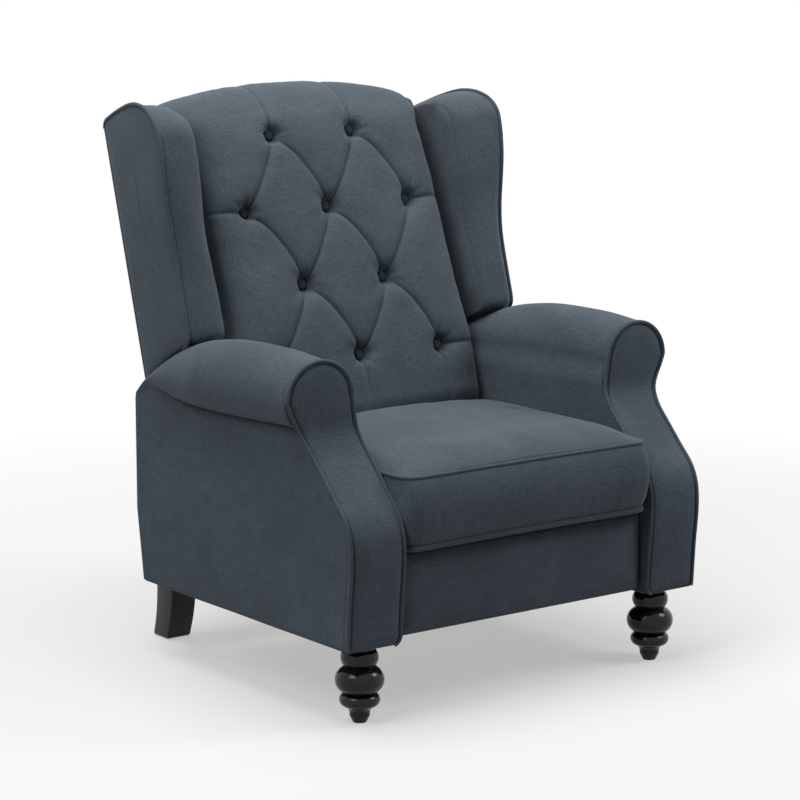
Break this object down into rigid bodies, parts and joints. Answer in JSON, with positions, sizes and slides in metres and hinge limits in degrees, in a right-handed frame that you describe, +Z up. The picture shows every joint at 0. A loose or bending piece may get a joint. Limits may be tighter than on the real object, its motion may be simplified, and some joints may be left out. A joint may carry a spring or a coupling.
{
  "type": "wing recliner",
  "caption": "Tufted wingback push-back recliner with rolled arms, a box seat cushion, a hidden lift-up footrest, turned front legs and curved back legs.",
  "frame": {"origin": "on the floor, under the middle of the chair's box, upright with the footrest closed", "axes": "+Z up, front of the chair towards -Y, +X to the viewer's right; mirror symmetric across X = 0"},
  "size_m": [0.8312, 0.8187, 1.0099],
  "materials": {
    "frame_wood": "raw plywood and sawn wood, matt",
    "upholstery": "dark slate blue linen-look weave, matt",
    "piping": "piping in the cover fabric, matt",
    "lining": "thin black lining cloth, matt",
    "webbing": "woven elastic straps, matt",
    "dark_lacquer": "glossy black-brown lacquer",
    "zinc_steel": "zinc plated, satin",
    "black_steel": "black coated steel, satin",
    "glide_plastic": "dark nylon, matt"
  },
  "bodies": {
    "base": {"arm_frame_left": "frame_wood", "arm_frame_right": "frame_wood", "arm_cover_left": "upholstery", "arm_cover_right": "upholstery", "arm_front_panel_left": "upholstery", "arm_front_panel_right": "upholstery", "arm_welt_left": "piping", "arm_welt_right": "piping", "front_stretcher": "frame_wood", "rear_stretcher": "frame_wood", "rear_apron": "upholstery", "front_leg_left": "dark_lacquer", "front_leg_right": "dark_lacquer", "rear_leg_left": "dark_lacquer", "rear_leg_right": "dark_lacquer", "leg_bolts": "zinc_steel", "leg_glides": "glide_plastic", "slide_bracket_left": "black_steel", "slide_bracket_right": "black_steel"},
    "seat": {"side_plate_left": "black_steel", "side_plate_right": "black_steel", "seat_side_rail_left": "frame_wood", "seat_side_rail_right": "frame_wood", "seat_front_rail": "frame_wood", "seat_rear_rail": "frame_wood", "seat_springs": "zinc_steel", "seat_deck": "lining", "seat_cushion": "upholstery", "seat_welts": "piping", "plate_pins": "zinc_steel"},
    "back": {"back_post_left": "frame_wood", "back_post_right": "frame_wood", "back_top_rail": "frame_wood", "back_bottom_rail": "frame_wood", "back_webbing": "webbing", "back_cushion": "upholstery", "back_buttons": "upholstery", "wing_frame_left": "frame_wood", "wing_frame_right": "frame_wood", "wing_pad_left": "upholstery", "wing_pad_right": "upholstery", "wing_welt_left": "piping", "wing_welt_right": "piping", "outside_back": "upholstery", "back_bracket_left": "black_steel", "back_bracket_right": "black_steel"},
    "rear_rising_links": {"tongs_rear_rising_left": "black_steel", "tongs_rear_rising_right": "black_steel"},
    "rear_falling_links": {"tongs_rear_falling_left": "black_steel", "tongs_rear_falling_right": "black_steel"},
    "front_falling_links": {"tongs_front_falling_left": "black_steel", "tongs_front_falling_right": "black_steel"},
    "front_rising_links": {"tongs_front_rising_left": "black_steel", "tongs_front_rising_right": "black_steel"},
    "control_links": {"tongs_control_left": "black_steel", "tongs_control_right": "black_steel"},
    "footrest": {"footrest_bracket_left": "black_steel", "footrest_bracket_right": "black_steel", "footrest_board": "frame_wood", "footrest_pad": "upholstery"}
  },
  "joints": [
    {"name": "seat_slide", "type": "slide", "parent": "base", "child": "seat", "axis": [0, -1, 0], "range_m": [0, 0.04]},
    {"name": "back_recline", "type": "hinge", "parent": "seat", "child": "back", "pos_m": [0, 0.16, 0.27], "axis": [-1, 0, 0], "range_deg": [0, 28]},
    {"name": "footrest_open", "type": "hinge", "parent": "seat", "child": "rear_rising_links", "pos_m": [0, -0.226, 0.128], "axis": [1, 0, 0], "range_deg": [0, 50]},
    {"name": "rear_cross", "type": "hinge", "parent": "rear_rising_links", "child": "rear_falling_links", "pos_m": [0, -0.24248, 0.20552], "axis": [-1, 0, 0], "range_deg": [0, 140]},
    {"name": "upper_joint", "type": "hinge", "parent": "rear_rising_links", "child": "front_falling_links", "pos_m": [0, -0.25895, 0.28304], "axis": [-1, 0, 0], "range_deg": [0, 140]},
    {"name": "front_cross", "type": "hinge", "parent": "front_falling_links", "child": "front_rising_links", "pos_m": [0, -0.27543, 0.20552], "axis": [1, 0, 0], "range_deg": [0, 140]},
    {"name": "control_joint", "type": "hinge", "parent": "front_falling_links", "child": "control_links", "pos_m": [0, -0.29191, 0.128], "axis": [1, 0, 0], "range_deg": [0, 140]},
    {"name": "footrest_turn", "type": "hinge", "parent": "front_rising_links", "child": "footrest", "pos_m": [0, -0.29191, 0.28304], "axis": [-1, 0, 0], "range_deg": [0, 140]}
  ],
  "couplings": [
    {"joint": "seat_slide", "follows": "back_recline", "m_per_rad": 0.08185},
    {"joint": "rear_cross", "follows": "footrest_open", "ratio": 2.8},
    {"joint": "upper_joint", "follows": "footrest_open", "ratio": 2.8},
    {"joint": "front_cross", "follows": "footrest_open", "ratio": 2.8},
    {"joint": "control_joint", "follows": "footrest_open", "ratio": 2.8},
    {"joint": "footrest_turn", "follows": "footrest_open", "ratio": 2.8}
  ]
}
